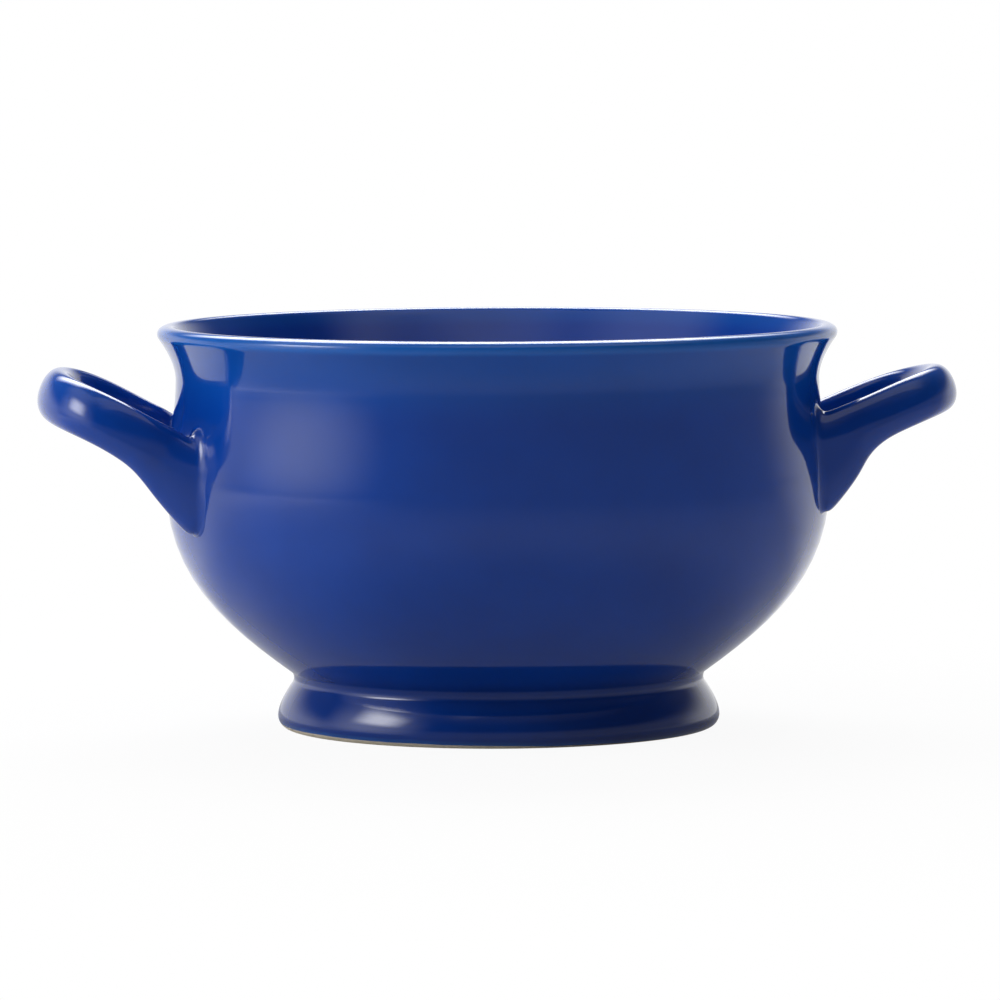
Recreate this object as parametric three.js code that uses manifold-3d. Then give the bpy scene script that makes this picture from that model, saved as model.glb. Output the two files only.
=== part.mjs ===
// Two-handled soup bowl in glazed pottery.  Clay pieces stuck together with slip: a bowl body on a
// hollow foot ring, and a cast loop handle on either side.  Millimetres, +Z up, origin on the table
// under the middle of the bowl, handles along X.

import * as THREE from "three";
import { mergeVertices } from "three/addons/utils/BufferGeometryUtils.js";
import Module from "manifold-3d";

const wasm = await Module();
wasm.setup();

// Body, outside
const HEIGHT = 80;             // table to the crest of the lip
const LIP_RADIUS = 67.5;       // widest place of the lip
const LIP_ROUND = 2.4;         // from that place in to the crest
const LIP_BEAD = 1.6;          // and up to the crest
const LIP_UNDERCUT = 0.75;     // rounding under the widest place, inward
const LIP_UNDER = 1.65;        // and down
const LIP_THICKNESS = 4.6;     // lip, across its crest
const NECK_RADIUS = 63.9;      // narrowest place under the lip
const NECK_BELOW_RIM = 10.7;
const BELLY_RADIUS = 66;       // widest place of the body
const BELLY_BELOW_RIM = 31;
const WAIST_RADIUS = 40.95;    // where the body sits on the foot
const WAIST_HEIGHT = 10.4;
const WAIST_FILLET = 1.7;
const UNDERSIDE_RISE = 33.5;   // degrees, slope of the underside where it leaves the waist

// Body, inside
const WALL = 4.5;
const FLOOR = 5.5;

// Foot ring
const FOOT_RADIUS = 43.85;     // widest place of the foot
const FOOT_BULGE_HEIGHT = 1.8; // height of that place
const FOOT_SHOULDER = 1.2;     // how far the foot stands out past the waist where its cove begins
const FOOT_SHOULDER_HEIGHT = 7.2;
const FOOT_CONTACT_WIDTH = 5.6; // unglazed ring that touches the table
const FOOT_EDGE = 2.35;        // from the contact ring out to the widest place
const FOOT_TOP_WIDTH = 10;     // width of the joint under the body
const FOOT_INNER_EDGE = 1;     // chamfer inside the contact ring

// Handles
const HANDLE_REACH = 25.5;     // from the belly out to the tip
const HANDLE_WIDTH = 49.3;     // over the outside of the loop
const HANDLE_BELOW_RIM = 23.9; // middle of the strap at the wall
const HANDLE_SLOPE = 0.37;     // rise over run where the strap leaves the wall
const HANDLE_SWEEP = 0.0058;   // how fast the slope grows outward
const HANDLE_DROOP_RUN = 12;   // past this distance from the wall the strap levels off
const HANDLE_DROOP = 0.0145;   // and how fast
const STRAP_HEIGHT = 9.8;
const STRAP_THICKNESS = 6.7;
const STRAP_RIDGE = 0.38;      // height of the widest place of the section, as a share of the strap's
const STRAP_SQUARENESS = 2.3;  // superellipse power of the section, 2 is an ellipse
const BEND_LENGTH = 17;        // length of the bend from arm to tip
const GUSSET_DROP = 9.6;       // how far the strap reaches down the wall at its root
const GUSSET_RUN = 10.6;       // the drop is gone at this distance from the wall
const ROOT_FILLET = 2.8;       // flare of slip round each root

// Joints
const SLIP = 0.6;              // thickness of the slip between two pieces
const GAP = 0.3;               // space kept between neighbouring solids

// Fineness
const TURN_STEPS = 60;         // steps round the bowl
const RING_STEPS = 20;         // points round the strap

const GLAZE = new THREE.Color(0x15357f);

const at = (radius, z) => new THREE.Vector2(radius, z);

// Points of a smooth curve between two stations, the first station left out
function curve(from, leaving, arriving, to, steps) {
  return new THREE.CubicBezierCurve(from, leaving, arriving, to).getPoints(steps).slice(1);
}

// Quarter ellipse from one station to the other, leaving vertically or sideways
function quarter(from, to, leavesUpright, steps) {
  const points = [];
  for (let i = 1; i <= steps; i += 1) {
    const turn = (Math.PI / 2) * (i / steps);
    const first = Math.sin(turn);
    const second = 1 - Math.cos(turn);
    const across = leavesUpright ? second : first;
    const up = leavesUpright ? first : second;
    points.push(at(from.x + (to.x - from.x) * across, from.y + (to.y - from.y) * up));
  }
  return points;
}

// Solid turned about the Z axis from a profile of radius and height
function turned(profile) {
  return new THREE.LatheGeometry(profile, TURN_STEPS).rotateX(Math.PI / 2);
}

// Outside of the body, from the waist up to the crest of the lip
const seatHeight = WAIST_HEIGHT + SLIP / 2 + GAP;
const neckHeight = HEIGHT - NECK_BELOW_RIM;
const bellyHeight = HEIGHT - BELLY_BELOW_RIM;
const lipHeight = HEIGHT - LIP_BEAD;
const crest = at(LIP_RADIUS - LIP_ROUND, HEIGHT);

function outsideOfBody() {
  const points = [at(WAIST_RADIUS, seatHeight)];
  const rise = THREE.MathUtils.degToRad(UNDERSIDE_RISE);
  const filletSteps = 4;
  for (let i = 1; i <= filletSteps; i += 1) {
    const turn = Math.PI / 2 + (rise - Math.PI / 2) * (i / filletSteps);
    const radius = WAIST_RADIUS + WAIST_FILLET * (1 - Math.sin(turn));
    points.push(at(radius, seatHeight + WAIST_FILLET * Math.cos(turn)));
  }
  const start = points[points.length - 1];
  const run = 0.56 * (BELLY_RADIUS - start.x);
  const belly = at(BELLY_RADIUS, bellyHeight);
  const climb = bellyHeight - start.y;
  points.push(...curve(
    start,
    at(start.x + run, start.y + run * Math.tan(rise)),
    at(BELLY_RADIUS, bellyHeight - 0.5 * climb),
    belly,
    11,
  ));
  const neck = at(NECK_RADIUS, neckHeight);
  const draw = 0.4 * (neckHeight - bellyHeight);
  points.push(...curve(
    belly,
    at(BELLY_RADIUS, bellyHeight + draw),
    at(NECK_RADIUS, neckHeight - draw),
    neck,
    7,
  ));
  const lipStart = at(LIP_RADIUS - LIP_UNDERCUT, lipHeight - LIP_UNDER);
  const flare = lipStart.y - neckHeight;
  points.push(...curve(
    neck,
    at(NECK_RADIUS, neckHeight + 0.38 * flare),
    at(lipStart.x - 0.17 * flare, lipStart.y - 0.25 * flare),
    lipStart,
    5,
  ));
  const lipEdge = at(LIP_RADIUS, lipHeight);
  points.push(...curve(
    lipStart,
    at(lipStart.x + 0.6 * LIP_UNDERCUT, lipStart.y + 0.4 * LIP_UNDER),
    at(LIP_RADIUS, lipHeight - 0.4 * LIP_UNDER),
    lipEdge,
    3,
  ));
  points.push(...quarter(lipEdge, crest, true, 4));
  return points;
}

// Inside of the body, from the crest of the lip down to the middle of the floor
function insideOfBody() {
  const lipInside = at(LIP_RADIUS - LIP_THICKNESS, lipHeight - 0.6 * LIP_UNDER);
  const points = quarter(crest, lipInside, false, 4);
  const neck = at(NECK_RADIUS - WALL, neckHeight);
  const flare = lipInside.y - neckHeight;
  points.push(...curve(
    lipInside,
    at(lipInside.x - 0.1 * flare, lipInside.y - 0.35 * flare),
    at(neck.x, neckHeight + 0.4 * flare),
    neck,
    4,
  ));
  const belly = at(BELLY_RADIUS - WALL, bellyHeight);
  const draw = 0.4 * (neckHeight - bellyHeight);
  points.push(...curve(
    neck,
    at(neck.x, neckHeight - draw),
    at(belly.x, bellyHeight + draw),
    belly,
    6,
  ));
  const floorHeight = seatHeight + FLOOR;
  points.push(...curve(
    belly,
    at(belly.x, bellyHeight - 0.5 * (bellyHeight - floorHeight)),
    at(0.68 * belly.x, floorHeight),
    at(0, floorHeight),
    11,
  ));
  return points;
}

const outside = outsideOfBody();
const bodyGeometry = turned([at(0, seatHeight), ...outside, ...insideOfBody()]);

// The body grown outward and filled, to cut what sits against it
function bodyGrownBy(distance) {
  const grown = outside.map((point) => at(point.x + distance, point.y));
  return solid(turned([at(0, seatHeight), ...grown, at(0, HEIGHT)]));
}

function footGeometry() {
  const top = WAIST_HEIGHT - SLIP / 2 - GAP;
  const contactOuter = FOOT_RADIUS - FOOT_EDGE;
  const contactInner = contactOuter - FOOT_CONTACT_WIDTH;
  const bulge = at(FOOT_RADIUS, FOOT_BULGE_HEIGHT);
  const shoulder = at(WAIST_RADIUS + FOOT_SHOULDER, FOOT_SHOULDER_HEIGHT);
  const climb = FOOT_SHOULDER_HEIGHT - FOOT_BULGE_HEIGHT;
  const cove = top - FOOT_SHOULDER_HEIGHT;
  const lean = at(-0.72 * FOOT_SHOULDER, 0.31 * cove);
  const points = [at(contactInner, 0), at(contactOuter, 0)];
  points.push(...quarter(at(contactOuter, 0), bulge, false, 5));
  points.push(...curve(
    bulge,
    at(FOOT_RADIUS, FOOT_BULGE_HEIGHT + 0.42 * climb),
    at(shoulder.x - lean.x, shoulder.y - lean.y),
    shoulder,
    5,
  ));
  points.push(...curve(
    shoulder,
    at(shoulder.x + lean.x, shoulder.y + lean.y),
    at(WAIST_RADIUS, top - 0.31 * cove),
    at(WAIST_RADIUS, top),
    4,
  ));
  points.push(at(WAIST_RADIUS - FOOT_TOP_WIDTH, top));
  points.push(at(contactInner - FOOT_INNER_EDGE, FOOT_INNER_EDGE));
  points.push(at(contactInner, 0));
  return turned(points);
}

function footSlipGeometry() {
  const low = WAIST_HEIGHT - SLIP / 2;
  const high = WAIST_HEIGHT + SLIP / 2;
  const inner = WAIST_RADIUS - FOOT_TOP_WIDTH;
  return turned([
    at(inner, low),
    at(WAIST_RADIUS, low),
    at(WAIST_RADIUS, high),
    at(inner, high),
    at(inner, low),
  ]);
}

// Radius of the body's outside at a height within it
function wallRadius(z) {
  for (let i = 1; i < outside.length; i += 1) {
    const low = outside[i - 1];
    const high = outside[i];
    if (z <= high.y) {
      return low.x + (high.x - low.x) * ((z - low.y) / (high.y - low.y));
    }
  }
  return crest.x;
}

// Middle line of a handle seen from above, as points out from the bowl and across it: along the front
// arm, round the tip and back along the rear arm.  It starts and ends inside the body.
const armOffset = (HANDLE_WIDTH - STRAP_THICKNESS) / 2;
const wallAtArm = Math.sqrt(BELLY_RADIUS ** 2 - armOffset ** 2);
const tip = BELLY_RADIUS + HANDLE_REACH - STRAP_THICKNESS / 2;
const bendStart = tip - BEND_LENGTH;

function handlePlan() {
  const arm = [at(wallAtArm - 5, armOffset), at(wallAtArm - 2.4, armOffset)];
  const rootSteps = 8;
  for (let i = 0; i < rootSteps; i += 1) {
    arm.push(at(wallAtArm - 1.2 + (i / rootSteps) * (2 * ROOT_FILLET), armOffset));
  }
  const clear = arm[arm.length - 1].x;
  const armSteps = 4;
  for (let i = 1; i <= armSteps; i += 1) {
    arm.push(at(clear + (bendStart - clear) * (i / armSteps), armOffset));
  }
  arm.push(...curve(
    at(bendStart, armOffset),
    at(bendStart + 0.72 * BEND_LENGTH, armOffset),
    at(tip, 0.66 * armOffset),
    at(tip, 0),
    11,
  ));
  const back = arm.slice(0, -1).reverse();
  return [...arm, ...back.map((point) => at(point.x, -point.y))];
}

// Height of the middle line over the table, and its slope, at a distance out from the bowl's axis
function strapHeight(out) {
  const run = out - wallAtArm;
  const end = Math.max(run - HANDLE_DROOP_RUN, 0);
  const rise = HANDLE_SLOPE * run + HANDLE_SWEEP * run * run - HANDLE_DROOP * end * end;
  return HEIGHT - HANDLE_BELOW_RIM + rise;
}

function strapSlope(out) {
  const run = out - wallAtArm;
  const end = Math.max(run - HANDLE_DROOP_RUN, 0);
  return HANDLE_SLOPE + 2 * HANDLE_SWEEP * run - 2 * HANDLE_DROOP * end;
}

// How far the underside of the strap is drawn down towards its root
function gussetDrop(out) {
  const left = THREE.MathUtils.clamp(1 - (out - wallAtArm) / GUSSET_RUN, 0, 1);
  return GUSSET_DROP * left ** 1.5;
}

// Outward flare of the slip fillet at a distance from the wall
function filletFlare(distance) {
  const inward = THREE.MathUtils.clamp(ROOT_FILLET - distance, 0, ROOT_FILLET);
  return ROOT_FILLET - Math.sqrt(ROOT_FILLET ** 2 - inward ** 2);
}

// One section of the strap, square to its middle line and widest at the ridge
function strapSection(middle, along) {
  const slope = strapSlope(middle.x);
  const up = new THREE.Vector3(-slope, 0, 1).normalize();
  const tangent = new THREE.Vector3(along.x, along.y, slope * along.x).normalize();
  const side = new THREE.Vector3().crossVectors(tangent, up);
  const centre = new THREE.Vector3(middle.x, middle.y, strapHeight(middle.x));
  const drop = gussetDrop(middle.x);
  const power = 2 / STRAP_SQUARENESS;
  const section = [];
  for (let i = 0; i < RING_STEPS; i += 1) {
    const turn = (2 * Math.PI * i) / RING_STEPS;
    const across = Math.sign(Math.cos(turn)) * Math.abs(Math.cos(turn)) ** power;
    const rise = Math.sign(Math.sin(turn)) * Math.abs(Math.sin(turn)) ** power;
    const point = centre.clone();
    point.addScaledVector(side, (across * STRAP_THICKNESS) / 2);
    const share = rise > 0 ? 1 - STRAP_RIDGE : STRAP_RIDGE;
    point.addScaledVector(up, (STRAP_RIDGE - 0.5 + rise * share) * STRAP_HEIGHT);
    point.z += Math.min(rise, 0) * drop;
    const distance = Math.hypot(point.x, point.y) - wallRadius(point.z);
    const flare = filletFlare(distance);
    point.addScaledVector(side, flare * Math.cos(turn));
    point.addScaledVector(up, flare * Math.sin(turn));
    section.push(point);
  }
  return section;
}

// The whole handle on the +X side, with its roots running on into the body
function handleGeometry() {
  const plan = handlePlan();
  const positions = [];
  plan.forEach((middle, i) => {
    const before = plan[Math.max(i - 1, 0)];
    const after = plan[Math.min(i + 1, plan.length - 1)];
    const along = after.clone().sub(before).normalize();
    for (const point of strapSection(middle, along)) {
      positions.push(point.x, point.y, point.z);
    }
  });
  const faces = [];
  for (let ring = 0; ring < plan.length - 1; ring += 1) {
    for (let i = 0; i < RING_STEPS; i += 1) {
      const a = ring * RING_STEPS + i;
      const b = ring * RING_STEPS + ((i + 1) % RING_STEPS);
      const c = a + RING_STEPS;
      const d = b + RING_STEPS;
      faces.push(a, c, b, b, c, d);
    }
  }
  const last = (plan.length - 1) * RING_STEPS;
  for (let i = 1; i < RING_STEPS - 1; i += 1) {
    faces.push(0, i, i + 1);
    faces.push(last, last + i + 1, last + i);
  }
  const geometry = new THREE.BufferGeometry();
  geometry.setAttribute("position", new THREE.Float32BufferAttribute(positions, 3));
  geometry.setIndex(faces);
  return geometry;
}

// Solid for cutting, from a closed geometry
function solid(geometry) {
  const bare = geometry.clone();
  bare.deleteAttribute("normal");
  bare.deleteAttribute("uv");
  const merged = mergeVertices(bare, 1e-4);
  return new wasm.Manifold(new wasm.Mesh({
    numProp: 3,
    vertProperties: new Float32Array(merged.attributes.position.array),
    triVerts: new Uint32Array(merged.index.array),
  }));
}

// Geometry from a cut solid
function geometryOf(shape) {
  const mesh = shape.getMesh();
  const geometry = new THREE.BufferGeometry();
  geometry.setAttribute("position", new THREE.BufferAttribute(mesh.vertProperties, 3));
  geometry.setIndex(new THREE.BufferAttribute(mesh.triVerts, 1));
  geometry.computeVertexNormals();
  return geometry;
}

const group = new THREE.Group();
group.name = "soup_bowl";

function add(name, geometry, color, roughness) {
  const material = new THREE.MeshStandardMaterial({ color, roughness, metalness: 0 });
  const mesh = new THREE.Mesh(geometry, material);
  mesh.name = name;
  group.add(mesh);
}

add("bowl_body", bodyGeometry, GLAZE, 0.12);
add("foot_ring", footGeometry(), GLAZE, 0.15);
add("foot_slip", footSlipGeometry(), GLAZE, 0.15);

// The loop is cut to the wall, and its root ends make the slip pads between it and the wall
const loop = solid(handleGeometry());
const handle = loop.subtract(bodyGrownBy(SLIP + 2 * GAP));
const pads = loop.intersect(bodyGrownBy(SLIP + GAP)).subtract(bodyGrownBy(GAP));
const frontPad = pads.trimByPlane([0, -1, 0], 0);
const rearPad = pads.trimByPlane([0, 1, 0], 0);
const toLeft = [0, 0, 180];

add("right_handle", geometryOf(handle), GLAZE, 0.12);
add("left_handle", geometryOf(handle.rotate(toLeft)), GLAZE, 0.12);
add("right_handle_front_slip", geometryOf(frontPad), GLAZE, 0.15);
add("right_handle_rear_slip", geometryOf(rearPad), GLAZE, 0.15);
add("left_handle_front_slip", geometryOf(rearPad.rotate(toLeft)), GLAZE, 0.15);
add("left_handle_rear_slip", geometryOf(frontPad.rotate(toLeft)), GLAZE, 0.15);

export default group;
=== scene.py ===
import math

import bmesh
import bpy
from mathutils import Matrix, Vector


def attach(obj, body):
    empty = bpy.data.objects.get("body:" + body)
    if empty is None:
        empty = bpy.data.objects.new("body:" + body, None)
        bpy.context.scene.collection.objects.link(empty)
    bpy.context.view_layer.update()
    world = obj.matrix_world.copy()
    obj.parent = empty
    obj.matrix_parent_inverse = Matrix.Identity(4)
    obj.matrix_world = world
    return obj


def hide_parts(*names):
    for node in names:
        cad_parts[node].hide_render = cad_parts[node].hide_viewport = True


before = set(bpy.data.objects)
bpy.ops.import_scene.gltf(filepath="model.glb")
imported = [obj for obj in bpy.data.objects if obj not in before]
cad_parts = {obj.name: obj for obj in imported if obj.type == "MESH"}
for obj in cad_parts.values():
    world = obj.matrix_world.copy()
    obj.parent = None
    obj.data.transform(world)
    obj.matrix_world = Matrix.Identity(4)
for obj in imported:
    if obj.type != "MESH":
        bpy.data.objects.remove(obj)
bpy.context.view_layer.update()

MM = 0.001

# Turned pieces: steps round the axis and along each curve of a profile, and the angle in degrees up to
# which an edge is shaded smooth
TURN_STEPS = 160
CURVE_STEPS = 12
MERGE_DISTANCE = 2e-6
TURNED_SMOOTH_ANGLE = 50

# Sizes that both handles share, in millimetres
ARM_OFFSET = 21.3           # middle of each arm, to the front and to the back of the bowl's axis
WALL_AT_ARM = 62.7          # where that middle meets the wall
WALL_RADIUS = 65.6
ROOT_DEPTH = 2.2            # how far a root is sunk in the wall
ARM_RUNS = (4.2, 5.8, 7.2)  # sections along the straight arm, out from the wall
STRAP_THICKNESS = 6.7
DROOP_RUN = 12              # past this distance from the wall the strap levels off
BEND_LENGTH = 17.0          # from the arm out to the tip

# Bend of the loop: where its sections are, and the pull of its two curve handles, out and across
BEND_SHARES = (0.04, 0.2, 0.36, 0.52, 0.68, 0.84, 1.0)
BEND_PULL_OUT = 0.72
BEND_PULL_ACROSS = 0.66

# Section of the strap: height of its widest place as a share of the strap's, and superellipse powers of its
# width above that place, its height above it, and its underside
SECTION_POINTS = 20
ARM_SECTION = dict(widest=0.36, top_width=2.3, top_height=1.4, underside=1.6)
TIP_SECTION = dict(widest=0.46, top_width=2.3, top_height=2.05, underside=2.1)
ROUNDER_FROM, ROUNDER_TO = 17, 25
GUSSET_FULLNESS = 1.0       # added to the underside's power where the gusset is deepest
FILLET_UNDERSIDE = 0.4      # share of a fillet ring's growth below the strap

# Rings of the fillet at a root: how far it stands out from the strap and from the wall
FILLET = ((3.6, -0.06), (2.0, 0.2), (0.9, 0.85), (0.25, 1.9))
SMOOTH_LEVELS = 3
HANDLE_SMOOTH_ANGLE = 60

# The two loops were shaped one by one and differ.  root: height of the strap's middle at the wall.  rise,
# steepen, droop: its slope there, how that grows, and how it falls off to the tip.  lean: turn about the
# line through both handles, in degrees.  tip: the strap's middle at the tip, out from the bowl's axis.
# strap: its height.  gusset: how far it reaches down the wall and out, and the curve of its lower edge.
LEFT_LOOP = dict(
    root=55.26, rise=0.412, steepen=0.0070, droop=0.0187, lean=-2.14, tip=87.9, strap=10.2,
    gusset=8.8, gusset_run=10.6, gusset_power=1.5, gusset_swell=0.35,
)
RIGHT_LOOP = dict(
    root=57.0, rise=0.325, steepen=0.0047, droop=0.0104, lean=-3.39, tip=88.5, strap=9.5,
    gusset=10.0, gusset_run=9.5, gusset_power=2.0, gusset_swell=2.0,
)

# Glaze: two tones that it drifts between, its colour where thin, a darker colour painted in as shade at the
# waist and foot, and its sheen
GLAZE_DEEP = (0.0017, 0.041, 0.285)
GLAZE_FULL = (0.0024, 0.052, 0.350)
GLAZE_THIN = (0.008, 0.125, 0.50)
# painted shade: the darker colour for the waist and the foot under the belly
GLAZE_PAINTED_SHADE = (0.0006, 0.010, 0.085)
GLAZE_ROUGHNESS = (0.04, 0.075)
GLAZE_IOR = 1.52
DRIFT_SCALE = 38
DRIFT_STOPS = (0.3, 0.7)
PIT_SCALE = 95
PIT_EDGE = (0.02, 0.05)
PIT_DEPTH = 0.05            # as a share of the ripple's height
RIPPLE_SCALE = 30
RIPPLE_ROUGHNESS = 0.4
RIPPLE_STRENGTH = 0.12
RIPPLE_HEIGHT = 0.6         # millimetres

# Where the glaze is thin at the lip, lighter at the neck, and darkened as painted shade at the waist and
# foot, in millimetres of height and of distance from the axis, and how much
LIP_HEIGHT, LIP_OUT, LIP_THIN = (77, 78), (65.4, 66.6), 0.5
NECK_HEIGHT, NECK_OUT, NECK_LIGHTER = (63, 75), (62, 63.5), 0.3
# painted shade under the belly: no darkening at the upper height, full darkening at the lower one and below
WAIST_HEIGHT, WAIST_PAINTED_SHADE = (13.5, 10.5), 0.3

# Bare clay at the foot: the wiped line slopes and wanders, and the sole is bare all round, in millimetres
CLAY_DARK = (0.60, 0.52, 0.38)
CLAY_LIGHT = (0.80, 0.73, 0.59)
CLAY_ROUGHNESS = 0.85
GRIT_SCALE = 1400
WIPE_SLOPE = (0.014, 0.006, 1)
WIPE_WANDER = 0.4
WANDER_SCALE = 90
WIPE_HEIGHT = (0.55, 0.45)
WIPE_THIN = (1.4, 0.6)
SOLE_HEIGHT = (0.16, 0.08)

# Room: brightness of the dim part in front of the bowl, where white is 1, and the ways to the white part
# behind it and to the dim part
ROOM_FRONT = 0.28
WHITE_SIDE = (0, 1, 0)
WHITE_FROM, WHITE_TO = 0.1, 0.6
DIM_SIDE = (0.45, -0.89, 0)
DIM_FROM, DIM_TO = -0.2, 0.5
FRONT_LEVELS = ((0.25, ROOM_FRONT), (0.40, 0.04), (0.62, 0.04), (0.80, 0.2))
BACK_FROM, BACK_TO = (0.12, 1.0), (0.38, 0.1)  # height in the room and brightness

# Table: size, paint and the distances from the bowl, in metres, between which its look changes
TABLE_SIZE = 6
TABLE_CLEARANCE = 0.0002
TABLE_PAINT = 0.7
TABLE_DIM_NEAR = 0.65
TABLE_DIM_RANGE = (0.1, 0.6)
TABLE_WHITE_RANGE = (0.07, 0.16)
TABLE_SHADOW_RANGE = (0.05, 0.30)
TABLE_WHITE_AT_BOWL = 0.94

# Soft panels: azimuth from the front and elevation in degrees, distance, width and height, brightness, and
# the share of the width and of the height over which each edge fades
PANELS = (
    ("left_soft_panel", -79, 18, 0.85, (1.2, 1.0), 2.0, (0.5, 0.42)),
    ("high_left_panel", -88, 52, 1.0, (1.2, 0.7), 0.9, (0.4, 0.4)),
    ("high_left_lamp", -77, 29, 0.8, (0.52, 0.36), 9.5, (0.45, 0.4)),
    ("front_soft_panel", 20, 70, 1.0, (1.7, 0.62), 0.8, (0.3, 0.15)),
    ("back_soft_panel", 180, 48, 1.1, (1.3, 1.1), 9.0, (0.35, 0.35)),
)
PANEL_AIM = (0, 0, 0.05)

# Camera: the photograph turns the bowl a little, so that its left handle comes forward.  Angles are in
# degrees for that turn and in radians for the small ones that line the picture up.
BOWL_TURN = 6.5
CAMERA_AWAY = 1.3
CAMERA_HEIGHT = 0.1484
CAMERA_LENS = 235.9
CAMERA_SENSOR = 36
CAMERA_NOD = 0.0795
CAMERA_PAN = -0.00032
CAMERA_ROLL = -0.004


# Turned pieces: a profile drawn as a curve, made a mesh line and spun round the bowl's axis.  Each knot has
# the curve's handle before it and after it, in millimetres out from the axis and up from the table.

BODY_KNOTS = [
    ((0, 11.6), (0, 11.6), (16, 11.6)),              # underside, on the axis
    ((26, 11.3), (31.3, 10.9), (34, 10.7)),          # inner edge of the joint with the foot
    ((38, 9.6), (41.03, 8.82), (40.58, 9.5)),        # outer edge of that joint
    ((40.78, 10.7), (41.45, 11.18), (55.2, 21.12)),  # foot of the belly
    ((66, 30.7), (66, 49), (66, 57.1)),              # belly at its widest
    ((63.9, 61.2), (63.9, 69.3), (63.9, 72.1)),      # neck
    ((65.5, 74.9), (66.75, 76.75), (67.2, 77.4)),    # under the lip
    ((67.5, 77.75), (67.5, 78.4), (67.5, 79.3)),     # lip at its widest
    ((66.5, 80), (65.2, 80), (64.5, 80)),            # crest of the lip
    ((64.15, 79.8), (63.8, 79.2), (62.5, 76.8)),     # inner edge of the lip
    ((61.0, 74.03), (59.9, 72.0), (59.5, 71.26)),    # foot of the slope inside the lip
    ((59.3, 70.3), (59.3, 68.8), (59.3, 61.2)),      # neck inside
    ((61.5, 57.1), (61.5, 49), (61.5, 32.7)),        # belly inside
    ((41.8, 16.5), (0, 16.5), (0, 16.5)),            # floor, on the axis
]

FOOT_KNOTS = [
    ((35.4, 0.3), (35.9, 0), (37.5, 0)),             # inner edge of the sole
    ((39.5, 0), (42.2, 0), (43.1, 0)),               # outer edge of the sole
    ((44.0, 1.0), (44.0, 2.2), (44.0, 4.2)),         # bulge at its widest
    ((42.29, 6.91), (41.0, 8.82), (40.66, 9.32)),    # joint with the body
    ((40.4, 10.8), (39.8, 11.2), (38, 11.2)),        # top, sunk in the body
    ((33, 11.2), (31.2, 11.1), (31.4, 9.5)),         # top of the hollow
    ((34.2, 3.0), (34.8, 1.0), (35.0, 0.6)),         # hollow, just above the sole
]


def draw_profile(name, knots, closed):
    bpy.ops.object.select_all(action="DESELECT")
    bpy.ops.curve.primitive_bezier_curve_add(location=(0, 0, 0))
    line = bpy.context.object
    line.name = name
    spline = line.data.splines[0]
    spline.bezier_points.add(len(knots) - 2)
    spline.resolution_u = CURVE_STEPS
    spline.use_cyclic_u = closed
    for point, (before, knot, after) in zip(spline.bezier_points, knots):
        point.handle_left_type = "FREE"
        point.handle_right_type = "FREE"
        point.co = (knot[0] * MM, 0, knot[1] * MM)
        point.handle_left = (before[0] * MM, 0, before[1] * MM)
        point.handle_right = (after[0] * MM, 0, after[1] * MM)
    bpy.ops.object.convert(target="MESH")
    return bpy.context.object


def turn_profile(piece):
    bpy.ops.object.mode_set(mode="EDIT")
    bpy.ops.mesh.select_all(action="SELECT")
    bpy.ops.mesh.spin(steps=TURN_STEPS, angle=math.tau, center=(0, 0, 0), axis=(0, 0, 1))
    bpy.ops.mesh.select_all(action="SELECT")
    bpy.ops.mesh.remove_doubles(threshold=MERGE_DISTANCE)
    bpy.ops.mesh.normals_make_consistent(inside=False)
    bpy.ops.object.mode_set(mode="OBJECT")
    bpy.ops.object.shade_smooth_by_angle(angle=math.radians(TURNED_SMOOTH_ANGLE))
    return piece


def make_body():
    return turn_profile(draw_profile("body", BODY_KNOTS, closed=False))


def make_foot():
    return turn_profile(draw_profile("foot", FOOT_KNOTS, closed=True))


# Handles: sections placed along the loop, bridged, and their roots laid onto the wall

def strap_height(out, loop):
    """Height of the strap's middle at a distance out from the bowl's axis."""
    run = out - WALL_AT_ARM
    end = max(run - DROOP_RUN, 0)
    return loop["root"] + loop["rise"] * run + loop["steepen"] * run * run - loop["droop"] * end * end


def strap_slope(out, loop):
    run = out - WALL_AT_ARM
    return loop["rise"] + 2 * loop["steepen"] * run - 2 * loop["droop"] * max(run - DROOP_RUN, 0)


def gusset_drop(run, loop):
    """How far the strap's underside drops at a distance from the wall."""
    near = max(1 - run / loop["gusset_run"], 0)
    return loop["gusset"] * near ** loop["gusset_power"] * (1 + loop["gusset_swell"] * (1 - near))


def bezier(a, b, c, d, t):
    s = 1.0 - t
    return a * s ** 3 + 3 * b * s * s * t + 3 * c * s * t * t + d * t ** 3


def handle_plan(tip):
    """Middle line from above, one arm to the other, as (out, across)."""
    start = tip - BEND_LENGTH
    arm = [(WALL_AT_ARM + run, ARM_OFFSET) for run in ARM_RUNS]
    for t in BEND_SHARES:
        out = bezier(start, start + BEND_PULL_OUT * BEND_LENGTH, tip, tip, t)
        across = bezier(ARM_OFFSET, ARM_OFFSET, BEND_PULL_ACROSS * ARM_OFFSET, 0, t)
        arm.append((out, across))
    return arm + [(out, -across) for out, across in reversed(arm[:-1])]


def section_shape(run):
    """The section at a distance from the wall: ridged along the arms and rounder at the tip."""
    share = min(max((run - ROUNDER_FROM) / (ROUNDER_TO - ROUNDER_FROM), 0), 1)
    return {key: ARM_SECTION[key] + (TIP_SECTION[key] - ARM_SECTION[key]) * share for key in ARM_SECTION}


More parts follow.
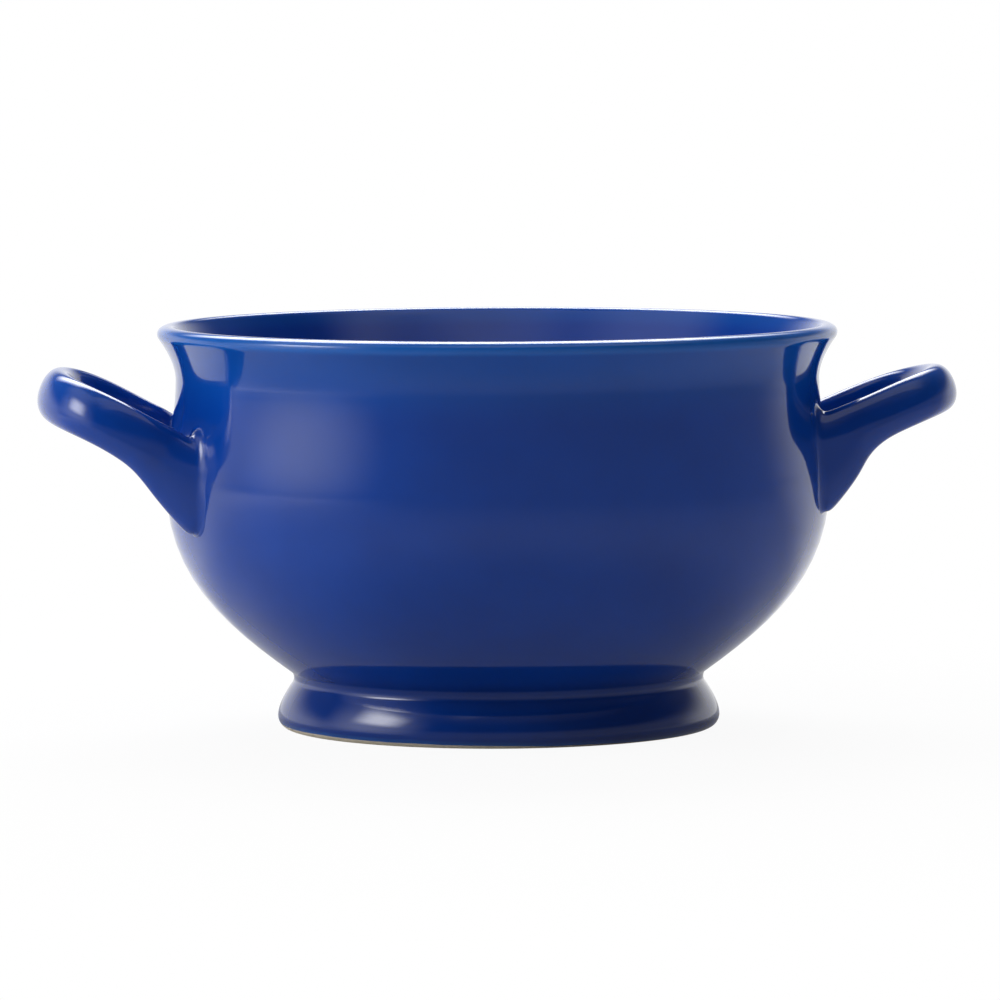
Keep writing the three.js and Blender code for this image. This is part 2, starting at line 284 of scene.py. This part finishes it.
def section_points(middle, along, loop, grow=0.0):
    """Points of one section, square to the strap's middle line; grow widens it for a ring of the fillet."""
    tilt = strap_slope(middle[0], loop)
    up = Vector((-tilt, 0, 1)).normalized()
    tangent = Vector((along[0], along[1], tilt * along[0])).normalized()
    side = tangent.cross(up)
    centre = Vector((middle[0], middle[1], strap_height(middle[0], loop)))
    run = max(middle[0] - WALL_AT_ARM, 0)
    drop = gusset_drop(run, loop)
    shape = section_shape(run)
    widest = shape["widest"]
    underside = shape["underside"] + GUSSET_FULLNESS * (drop / loop["gusset"]) ** 2
    points = []
    for i in range(SECTION_POINTS):
        turn = math.tau * i / SECTION_POINTS
        upper = i < SECTION_POINTS / 2
        across = abs(math.cos(turn)) ** (2 / (shape["top_width"] if upper else underside))
        rise = abs(math.sin(turn)) ** (2 / (shape["top_height"] if upper else underside))
        across = math.copysign(across, math.cos(turn))
        rise = math.copysign(rise, math.sin(turn))
        height = loop["strap"] * (widest - 0.5 + rise * (1 - widest if rise > 0 else widest))
        height += grow * rise * (1 if rise > 0 else FILLET_UNDERSIDE)
        point = centre + side * across * (STRAP_THICKNESS / 2 + grow) + up * height
        point.z += min(rise, 0.0) * drop
        points.append(point)
    return points


def root_points(across, heading, loop, grow):
    """A section at the wall, bent round it."""
    points = section_points((WALL_AT_ARM, across), (heading, 0), loop, grow)
    for point in points:
        point.x = math.sqrt(WALL_RADIUS ** 2 - point.y ** 2)
    return points


def handle_rings(loop):
    """Sections from one sunk root, over its fillet and along the loop, to the other."""
    plan = handle_plan(loop["tip"])
    last = len(plan) - 1
    sunk = WALL_AT_ARM - ROOT_DEPTH
    rings = [section_points((sunk, ARM_OFFSET), (1, 0), loop)]
    rings += [root_points(ARM_OFFSET, 1, loop, grow) for grow, _ in FILLET]
    for i, middle in enumerate(plan):
        before, after = plan[max(i - 1, 0)], plan[min(i + 1, last)]
        rings.append(section_points(middle, (after[0] - before[0], after[1] - before[1]), loop))
    rings += [root_points(-ARM_OFFSET, -1, loop, grow) for grow, _ in reversed(FILLET)]
    rings.append(section_points((sunk, -ARM_OFFSET), (-1, 0), loop))
    return rings


def place_rings(piece, rings, side, loop):
    """Add a circle for each ring and move its points into place; side is 1 on the right, -1 on the left."""
    for _ in rings[1:]:
        bpy.ops.mesh.primitive_circle_add(vertices=SECTION_POINTS, radius=STRAP_THICKNESS / 2 * MM)
    mesh = bmesh.from_edit_mesh(piece.data)
    mesh.verts.ensure_lookup_table()
    turned = Matrix.Rotation(0 if side > 0 else math.pi, 3, "Z")
    leaning = Matrix.Rotation(math.radians(loop["lean"]), 3, "X")
    pivot = Vector((0, 0, loop["root"]))
    for k, points in enumerate(rings):
        for i, point in enumerate(points):
            placed = leaning @ (point - pivot) + pivot
            mesh.verts[k * SECTION_POINTS + i].co = turned @ placed * MM
    bmesh.update_edit_mesh(piece.data)


def select_rings(piece, *rings):
    """Select the edges that run round the rings with these numbers."""
    bpy.ops.mesh.select_all(action="DESELECT")
    mesh = bmesh.from_edit_mesh(piece.data)
    for edge in mesh.edges:
        first, second = (vert.index // SECTION_POINTS for vert in edge.verts)
        edge.select_set(first == second and first in rings)
    bmesh.update_edit_mesh(piece.data)


def lay_roots(piece, ring_count, body):
    """Lay each ring of the two fillets on the wall, at its distance from it."""
    for step, (_, off) in enumerate(FILLET):
        group = piece.vertex_groups.new(name=f"fillet_{step}")
        for k in (1 + step, ring_count - 2 - step):
            group.add(range(k * SECTION_POINTS, (k + 1) * SECTION_POINTS), 1.0, "REPLACE")
        wrap = piece.modifiers.new(group.name, "SHRINKWRAP")
        wrap.target = body
        wrap.vertex_group = group.name
        wrap.wrap_method = "NEAREST_SURFACEPOINT"
        wrap.wrap_mode = "ABOVE_SURFACE"
        wrap.offset = off * MM
        bpy.ops.object.modifier_apply(modifier=wrap.name)


def make_handle(name, side, loop, body):
    rings = handle_rings(loop)
    last = len(rings) - 1
    bpy.ops.object.select_all(action="DESELECT")
    bpy.ops.mesh.primitive_circle_add(vertices=SECTION_POINTS, radius=STRAP_THICKNESS / 2 * MM)
    piece = bpy.context.object
    piece.name = name
    bpy.ops.object.mode_set(mode="EDIT")
    place_rings(piece, rings, side, loop)
    for k in range(last):
        select_rings(piece, k, k + 1)
        bpy.ops.mesh.bridge_edge_loops(type="PAIRS")
    for k in (0, last):
        select_rings(piece, k)
        bpy.ops.mesh.edge_face_add()
    for k in (1, last - 1):
        select_rings(piece, k)
        bpy.ops.transform.edge_crease(value=1)
    bpy.ops.mesh.select_all(action="SELECT")
    bpy.ops.mesh.normals_make_consistent(inside=False)
    bpy.ops.object.mode_set(mode="OBJECT")
    lay_roots(piece, len(rings), body)
    smooth = piece.modifiers.new("smooth", "SUBSURF")
    smooth.levels = SMOOTH_LEVELS
    smooth.render_levels = SMOOTH_LEVELS
    bpy.ops.object.modifier_apply(modifier="smooth")
    bpy.ops.object.shade_smooth_by_angle(angle=math.radians(HANDLE_SMOOTH_ANGLE))
    return piece


# Node helpers: each adds a node to a tree and gives its output.  A source is another output or a constant.

def feed(tree, socket, source):
    if isinstance(source, bpy.types.NodeSocket):
        tree.links.new(source, socket)
    else:
        socket.default_value = source


def coordinates(tree, kind):
    return tree.nodes.new("ShaderNodeTexCoord").outputs[kind]


def height_of(tree, place):
    node = tree.nodes.new("ShaderNodeSeparateXYZ")
    tree.links.new(place, node.inputs["Vector"])
    return node.outputs["Z"]


def ramp(tree, value, start, end, low=0.0, high=1.0, kind="SMOOTHSTEP"):
    """low where the value is at start, high where it is at end."""
    node = tree.nodes.new("ShaderNodeMapRange")
    node.interpolation_type = kind
    node.inputs["From Min"].default_value = start
    node.inputs["From Max"].default_value = end
    node.inputs["To Min"].default_value = low
    node.inputs["To Max"].default_value = high
    tree.links.new(value, node.inputs["Value"])
    return node.outputs["Result"]


def ramp_mm(tree, value, limits, high=1.0, kind="SMOOTHSTEP"):
    """The same from 0 to high, between two limits in millimetres."""
    return ramp(tree, value, limits[0] * MM, limits[1] * MM, high=high, kind=kind)


def combine(tree, operation, *sources):
    node = tree.nodes.new("ShaderNodeMath")
    node.operation = operation
    for socket, source in zip(node.inputs, sources):
        feed(tree, socket, source)
    return node.outputs["Value"]


def vector_math(tree, operation, *sources):
    node = tree.nodes.new("ShaderNodeVectorMath")
    node.operation = operation
    for socket, source in zip(node.inputs, sources):
        feed(tree, socket, source)
    return node.outputs["Value" if operation in ("DOT_PRODUCT", "LENGTH") else "Vector"]


def noise(tree, place, scale, detail=2.0, roughness=0.5):
    node = tree.nodes.new("ShaderNodeTexNoise")
    node.inputs["Scale"].default_value = scale
    node.inputs["Detail"].default_value = detail
    node.inputs["Roughness"].default_value = roughness
    tree.links.new(place, node.inputs["Vector"])
    return node.outputs["Fac"]


def color_ramp(tree, value, stops):
    """Colours at places from 0 to 1, as (place, colour)."""
    node = tree.nodes.new("ShaderNodeValToRGB")
    elements = node.color_ramp.elements
    elements[0].position, elements[1].position = stops[0][0], stops[-1][0]
    for position, _ in stops[1:-1]:
        elements.new(position)
    for element, (_, color) in zip(elements, stops):
        element.color = (*color, 1)
    tree.links.new(value, node.inputs["Fac"])
    return node.outputs["Color"]


def mix(tree, kind, amount, first, second):
    node = tree.nodes.new("ShaderNodeMix")
    node.data_type = kind
    for name, source in (("Factor", amount), ("A", first), ("B", second)):
        feed(tree, node.inputs[name], source)
    return node.outputs["Result"]


def blend(tree, amount, first, second):
    """One shader over another."""
    node = tree.nodes.new("ShaderNodeMixShader")
    for socket, source in zip(node.inputs, (amount, first, second)):
        tree.links.new(source, socket)
    return node.outputs["Shader"]


def glow(tree, strength):
    node = tree.nodes.new("ShaderNodeEmission")
    node.inputs["Strength"].default_value = strength
    return node.outputs["Emission"]


def empty_material(name):
    """A material with only its output."""
    material = bpy.data.materials.new(name)
    material.use_nodes = True
    tree = material.node_tree
    tree.nodes.clear()
    return material, tree, tree.nodes.new("ShaderNodeOutputMaterial")


# Finishes

def glaze_group():
    """Cobalt glaze: tone that drifts, thin bright edges, a few pinholes and a faint ripple."""
    tree = bpy.data.node_groups.new("cobalt_glaze", "ShaderNodeTree")
    for name in ("Thin", "Painted_Shade"):
        tree.interface.new_socket(name, in_out="INPUT", socket_type="NodeSocketFloat")
    tree.interface.new_socket("Color", in_out="OUTPUT", socket_type="NodeSocketColor")
    for name in ("Roughness", "Height"):
        tree.interface.new_socket(name, in_out="OUTPUT", socket_type="NodeSocketFloat")
    into = tree.nodes.new("NodeGroupInput").outputs
    out = tree.nodes.new("NodeGroupOutput").inputs
    place = coordinates(tree, "Object")

    drift = noise(tree, place, DRIFT_SCALE, detail=3)
    tone = color_ramp(tree, drift, tuple(zip(DRIFT_STOPS, (GLAZE_DEEP, GLAZE_FULL))))
    thin = mix(tree, "RGBA", into["Thin"], tone, (*GLAZE_THIN, 1))
    # painted shade: mixed towards the darker colour at the waist and over the foot
    painted_shade = mix(tree, "RGBA", into["Painted_Shade"], thin, (*GLAZE_PAINTED_SHADE, 1))
    tree.links.new(painted_shade, out["Color"])
    tree.links.new(ramp(tree, drift, 0, 1, *GLAZE_ROUGHNESS, kind="LINEAR"), out["Roughness"])

    pits = tree.nodes.new("ShaderNodeTexVoronoi")
    pits.inputs["Scale"].default_value = PIT_SCALE
    tree.links.new(place, pits.inputs["Vector"])
    pit = ramp(tree, pits.outputs["Distance"], *PIT_EDGE, low=1, high=0, kind="LINEAR")
    ripple = noise(tree, place, RIPPLE_SCALE, roughness=RIPPLE_ROUGHNESS)
    tree.links.new(combine(tree, "MULTIPLY_ADD", pit, -PIT_DEPTH, ripple), out["Height"])
    return tree


def glaze_material(name, group):
    """Glaze on a piece, thin and bright at the lip, lighter at the neck, and darker at the waist and foot,
    where that darkening is painted shade under the belly's overhang.
    """
    material = bpy.data.materials.new(name)
    material.use_nodes = True
    tree = material.node_tree
    shader = tree.nodes["Principled BSDF"]
    glaze = tree.nodes.new("ShaderNodeGroup")
    glaze.name = "glaze"
    glaze.node_tree = group
    place = coordinates(tree, "Object")
    height = height_of(tree, place)
    out = vector_math(tree, "LENGTH", vector_math(tree, "MULTIPLY", place, (1, 1, 0)))
    thin_places = []
    # lighter glaze at the lip, where it is thin, and lighter glaze at the neck
    for heights, distances, amount in (LIP_HEIGHT, LIP_OUT, LIP_THIN), (NECK_HEIGHT, NECK_OUT, NECK_LIGHTER):
        high_up = ramp_mm(tree, height, heights, amount)
        thin_places.append(combine(tree, "MULTIPLY", high_up, ramp_mm(tree, out, distances)))
    tree.links.new(combine(tree, "ADD", *thin_places), glaze.inputs["Thin"])
    # painted shade: the waist and everything below it, the foot included, darkened where the belly's
    # overhang shades them
    tree.links.new(ramp_mm(tree, height, WAIST_HEIGHT, WAIST_PAINTED_SHADE), glaze.inputs["Painted_Shade"])
    bump = tree.nodes.new("ShaderNodeBump")
    bump.inputs["Strength"].default_value = RIPPLE_STRENGTH
    bump.inputs["Distance"].default_value = RIPPLE_HEIGHT * MM
    tree.links.new(glaze.outputs["Height"], bump.inputs["Height"])
    tree.links.new(glaze.outputs["Color"], shader.inputs["Base Color"])
    tree.links.new(glaze.outputs["Roughness"], shader.inputs["Roughness"])
    tree.links.new(bump.outputs["Normal"], shader.inputs["Normal"])
    shader.inputs["IOR"].default_value = GLAZE_IOR
    return material


def foot_material(name, group):
    """Glaze down to the foot's lower edge, where it was wiped off: there, and on the sole, clay shows."""
    material = glaze_material(name, group)
    tree = material.node_tree
    shader, glaze = tree.nodes["Principled BSDF"], tree.nodes["glaze"]
    place = coordinates(tree, "Object")
    wander = noise(tree, place, WANDER_SCALE)
    slope = vector_math(tree, "DOT_PRODUCT", place, WIPE_SLOPE)
    above_line = combine(tree, "MULTIPLY_ADD", wander, WIPE_WANDER * MM, slope)
    tree.links.new(ramp_mm(tree, above_line, WIPE_THIN, kind="LINEAR"), glaze.inputs["Thin"])
    edge = ramp_mm(tree, above_line, WIPE_HEIGHT, kind="LINEAR")
    sole = ramp_mm(tree, height_of(tree, place), SOLE_HEIGHT, kind="LINEAR")
    bare = combine(tree, "MAXIMUM", edge, sole)
    clay = color_ramp(tree, noise(tree, place, GRIT_SCALE, detail=4), ((0, CLAY_DARK), (1, CLAY_LIGHT)))
    color = mix(tree, "RGBA", bare, glaze.outputs["Color"], clay)
    roughness = mix(tree, "FLOAT", bare, glaze.outputs["Roughness"], CLAY_ROUGHNESS)
    tree.links.new(color, shader.inputs["Base Color"])
    tree.links.new(roughness, shader.inputs["Roughness"])
    return material


def dress(piece, material, *nodes):
    piece.data.materials.clear()
    piece.data.materials.append(material)
    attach(piece, "root")
    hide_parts(*nodes)


body = make_body()
foot = make_foot()
left = make_handle("left_handle_loop", -1, LEFT_LOOP, body)
right = make_handle("right_handle_loop", 1, RIGHT_LOOP, body)

glaze = glaze_group()
dress(body, glaze_material("body_glaze", glaze), "bowl_body", "foot_slip")
dress(foot, foot_material("foot_glaze", glaze), "foot_ring")
handle_glaze = glaze_material("handle_glaze", glaze)
dress(left, handle_glaze, "left_handle", "left_handle_front_slip", "left_handle_rear_slip")
dress(right, handle_glaze, "right_handle", "right_handle_front_slip", "right_handle_rear_slip")


# Studio: white table that fades off into a dim room in front, white behind, soft panels round it

def make_table():
    """White table: as white as the backdrop for the camera, but still with the bowl's shadow."""
    bpy.ops.object.select_all(action="DESELECT")
    bpy.ops.mesh.primitive_plane_add(size=TABLE_SIZE, location=(0, 0, -TABLE_CLEARANCE))
    bpy.ops.object.transform_apply(location=True, rotation=True, scale=True)
    table = bpy.context.object
    table.name = "table"
    material, tree, out = empty_material("table_white")
    place = coordinates(tree, "Object")
    far = vector_math(tree, "LENGTH", place)
    heading = vector_math(tree, "NORMALIZE", place)
    paint = tree.nodes.new("ShaderNodeBsdfDiffuse")
    paint.inputs["Color"].default_value = (TABLE_PAINT, TABLE_PAINT, TABLE_PAINT, 1)
    plain = paint.outputs["BSDF"]
    white = glow(tree, 1.0)
    path = tree.nodes.new("ShaderNodeLightPath").outputs

    facing = ramp(tree, vector_math(tree, "DOT_PRODUCT", heading, DIM_SIDE), DIM_FROM, DIM_TO)
    dim = mix(tree, "FLOAT", ramp(tree, far, *TABLE_DIM_RANGE), TABLE_DIM_NEAR, facing)
    mirrored = blend(tree, dim, plain, glow(tree, ROOM_FRONT))
    behind = ramp(tree, vector_math(tree, "DOT_PRODUCT", heading, WHITE_SIDE), WHITE_FROM, WHITE_TO)
    clear = ramp(tree, far, *TABLE_WHITE_RANGE)
    mirrored = blend(tree, combine(tree, "MULTIPLY", behind, clear), mirrored, white)
    lit = blend(tree, path["Is Glossy Ray"], plain, mirrored)
    whiteness = ramp(tree, far, *TABLE_SHADOW_RANGE, low=TABLE_WHITE_AT_BOWL)
    seen = combine(tree, "MULTIPLY", path["Is Camera Ray"], whiteness)
    tree.links.new(blend(tree, seen, lit, white), out.inputs["Surface"])
    table.data.materials.append(material)


def background(tree, strength):
    node = tree.nodes.new("ShaderNodeBackground")
    node.inputs["Color"].default_value = (1, 1, 1, 1)
    feed(tree, node.inputs["Strength"], strength)
    return node.outputs["Background"]


def make_room():
    """White backdrop behind the bowl, and a dim room in front of it that only reflections show."""
    world = bpy.data.worlds.new("studio")
    bpy.context.scene.world = world
    world.use_nodes = True
    tree = world.node_tree
    tree.nodes.clear()
    out = tree.nodes.new("ShaderNodeOutputWorld")
    place = coordinates(tree, "Generated")
    height = height_of(tree, place)
    behind = ramp(tree, vector_math(tree, "DOT_PRODUCT", place, WHITE_SIDE), WHITE_FROM, WHITE_TO)
    front = color_ramp(tree, height, [(stop, (level,) * 3) for stop, level in FRONT_LEVELS])
    back = ramp(tree, height, BACK_FROM[0], BACK_TO[0], BACK_FROM[1], BACK_TO[1])
    room = background(tree, mix(tree, "FLOAT", behind, front, back))
    path = tree.nodes.new("ShaderNodeLightPath").outputs
    tree.links.new(blend(tree, path["Is Camera Ray"], room, background(tree, 1.0)), out.inputs["Surface"])


def soft_panel(name, azimuth, elevation, distance, size, brightness, edges):
    """A glowing panel that faces the bowl and fades towards its edges."""
    a, e = math.radians(azimuth), math.radians(elevation)
    towards = Vector((math.sin(a) * math.cos(e), -math.cos(a) * math.cos(e), math.sin(e)))
    bpy.ops.object.select_all(action="DESELECT")
    bpy.ops.mesh.primitive_plane_add(size=1)
    panel = bpy.context.object
    panel.name = name
    panel.scale = (*size, 1)
    panel.rotation_euler = towards.to_track_quat("Z", "Y").to_euler()
    panel.location = towards * distance + Vector(PANEL_AIM)
    panel.visible_camera = False
    material, tree, out = empty_material(name)
    split = tree.nodes.new("ShaderNodeSeparateXYZ")
    tree.links.new(coordinates(tree, "Object"), split.inputs["Vector"])
    fades = []
    for axis, edge in zip(("X", "Y"), edges):
        from_middle = combine(tree, "ABSOLUTE", split.outputs[axis])
        fades.append(ramp(tree, from_middle, 0.5, 0.5 - edge))
    nothing = tree.nodes.new("ShaderNodeBsdfTransparent").outputs["BSDF"]
    lit = blend(tree, combine(tree, "MULTIPLY", *fades), nothing, glow(tree, brightness))
    tree.links.new(lit, out.inputs["Surface"])
    panel.data.materials.append(material)


def make_camera():
    data = bpy.data.cameras.new("photo_camera")
    data.sensor_fit = "HORIZONTAL"
    data.sensor_width = CAMERA_SENSOR
    data.lens = CAMERA_LENS
    camera = bpy.data.objects.new("photo_camera", data)
    bpy.context.collection.objects.link(camera)
    turn = -math.radians(BOWL_TURN)
    spin = Matrix.Rotation(turn + CAMERA_PAN, 4, "Z")
    nod = Matrix.Rotation(math.pi / 2 - CAMERA_NOD, 4, "X")
    roll = Matrix.Rotation(CAMERA_ROLL, 4, "Z")
    place = (math.sin(turn) * CAMERA_AWAY, -math.cos(turn) * CAMERA_AWAY, CAMERA_HEIGHT)
    camera.matrix_world = Matrix.Translation(place) @ spin @ nod @ roll
    bpy.context.scene.camera = camera


make_table()
make_room()
for panel in PANELS:
    soft_panel(*panel)
make_camera()
bpy.context.scene.view_settings.view_transform = "Standard"
